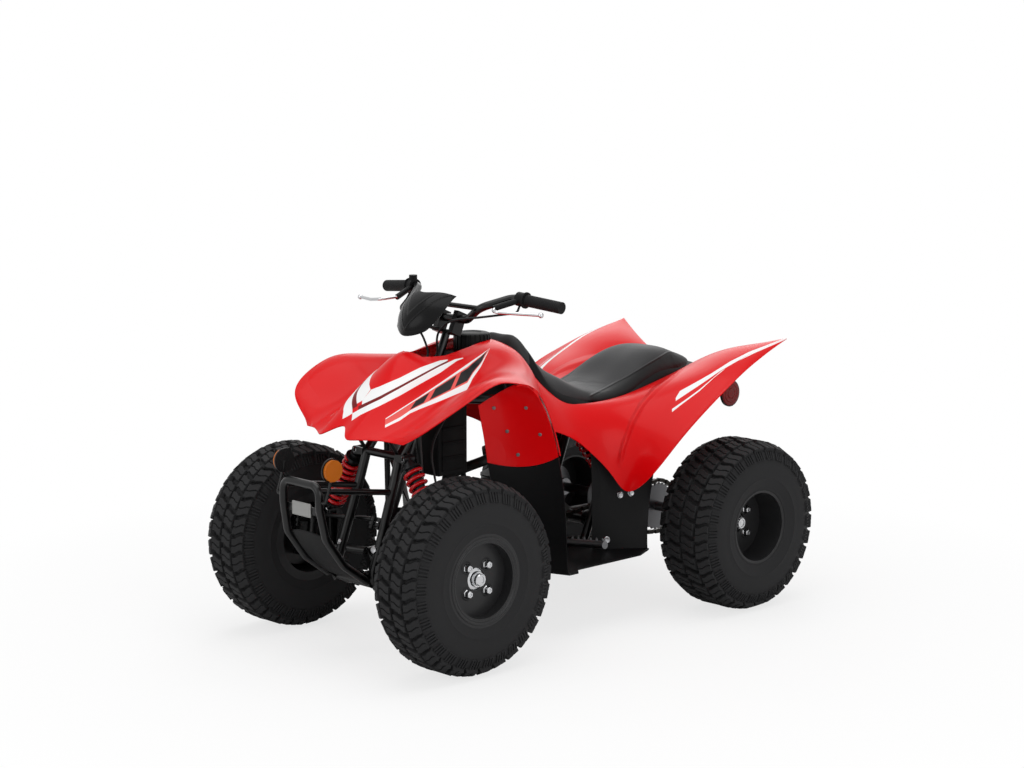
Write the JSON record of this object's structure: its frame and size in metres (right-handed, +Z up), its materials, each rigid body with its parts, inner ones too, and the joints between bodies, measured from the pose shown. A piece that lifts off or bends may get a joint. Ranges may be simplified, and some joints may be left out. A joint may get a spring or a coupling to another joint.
{
  "type": "youth quad bike",
  "caption": "Small four-wheeled quad bike with moulded hood and rear fenders, open tube frame, finned engine, chain drive, coil-over shocks, handlebar steering and fat lugged tyres.",
  "frame": {"origin": "middle of the overall box on the floor the tyres stand on, midway between the axles", "axes": "+X forward, +Y to the rider's left, +Z up"},
  "size_m": [1.5507, 0.94, 0.9563],
  "materials": {
    "tyre": "matte",
    "black_steel": "satin",
    "bare_steel": "brushed",
    "chrome": "polished",
    "red_spring": "gloss",
    "red_plastic": "gloss",
    "black_plastic": "satin",
    "seat_cover": "grained",
    "cast_alloy": "cast",
    "chain_steel": "oiled",
    "amber_lens": "gloss",
    "red_lens": "gloss",
    "soft_rubber": "matte"
  },
  "bodies": {
    "chassis": {"frame": "black_steel", "bumper": "black_steel", "skid_plate": "black_plastic", "front_arms": "black_steel", "dampers": "bare_steel", "springs": "red_spring", "swingarm": "black_steel", "chain": "chain_steel", "hood": "red_plastic", "mudguards": "black_plastic", "rear_fenders": "red_plastic", "tail_cover": "black_plastic", "seat": "seat_cover", "fuel_tank": "black_plastic", "fuel_cap": "black_plastic", "footwells": "black_plastic", "footpegs": "bare_steel", "pedals": "bare_steel", "crankcase": "cast_alloy", "cylinder": "cast_alloy", "carburettor": "cast_alloy", "exhaust": "black_steel", "front_reflectors": "amber_lens", "rear_reflectors": "red_lens", "lower_cables": "soft_rubber"},
    "steering": {"steering_shaft": "black_steel", "handlebar": "black_steel", "bar_clamps": "black_steel", "grips": "soft_rubber", "levers": "chrome", "controls": "black_plastic", "handlebar_cover": "black_plastic", "upper_cables": "soft_rubber"},
    "knuckle_left": {"knuckle_left": "black_steel"},
    "knuckle_right": {"knuckle_right": "black_steel"},
    "tie_rod_left": {"tie_rod_left": "black_steel"},
    "tie_rod_right": {"tie_rod_right": "black_steel"},
    "wheel_front_left": {"tyre_front_left": "tyre", "rim_front_left": "black_steel", "hub_front_left": "bare_steel"},
    "wheel_front_right": {"tyre_front_right": "tyre", "rim_front_right": "black_steel", "hub_front_right": "bare_steel"},
    "rear_wheels": {"rear_axle": "bare_steel", "rear_tyres": "tyre", "rear_rims": "black_steel"}
  },
  "joints": [
    {"name": "steering", "type": "hinge", "parent": "chassis", "child": "steering", "pos_m": [0.47998, 0, 0.30003], "axis": [-0.3893, 0, 0.9211], "range_deg": [-35, 35]},
    {"name": "kingpin_left", "type": "hinge", "parent": "chassis", "child": "knuckle_left", "pos_m": [0.515, 0.272, 0.254], "axis": [-0.1392, 0, 0.9903], "range_deg": [-35, 35]},
    {"name": "kingpin_right", "type": "hinge", "parent": "chassis", "child": "knuckle_right", "pos_m": [0.515, -0.272, 0.254], "axis": [-0.1392, 0, 0.9903], "range_deg": [-35, 35]},
    {"name": "rod_end_left", "type": "hinge", "parent": "steering", "child": "tie_rod_left", "pos_m": [0.51676, 0.013, 0.3286], "axis": [-0.3893, 0, 0.9211], "range_deg": [-35, 35]},
    {"name": "rod_end_right", "type": "hinge", "parent": "steering", "child": "tie_rod_right", "pos_m": [0.51676, -0.013, 0.3286], "axis": [-0.3893, 0, 0.9211], "range_deg": [-35, 35]},
    {"name": "roll_front_left", "type": "hinge", "parent": "knuckle_left", "child": "wheel_front_left", "pos_m": [0.515, 0.35, 0.254], "axis": [0, 1, 0], "continuous": true},
    {"name": "roll_front_right", "type": "hinge", "parent": "knuckle_right", "child": "wheel_front_right", "pos_m": [0.515, -0.35, 0.254], "axis": [0, 1, 0], "continuous": true},
    {"name": "roll_rear", "type": "hinge", "parent": "chassis", "child": "rear_wheels", "pos_m": [-0.515, 0, 0.2415], "axis": [0, 1, 0], "continuous": true}
  ],
  "couplings": [
    {"joint": "kingpin_left", "follows": "steering", "ratio": 1},
    {"joint": "kingpin_right", "follows": "steering", "ratio": 1},
    {"joint": "rod_end_left", "follows": "steering", "ratio": -1},
    {"joint": "rod_end_right", "follows": "steering", "ratio": -1}
  ]
}
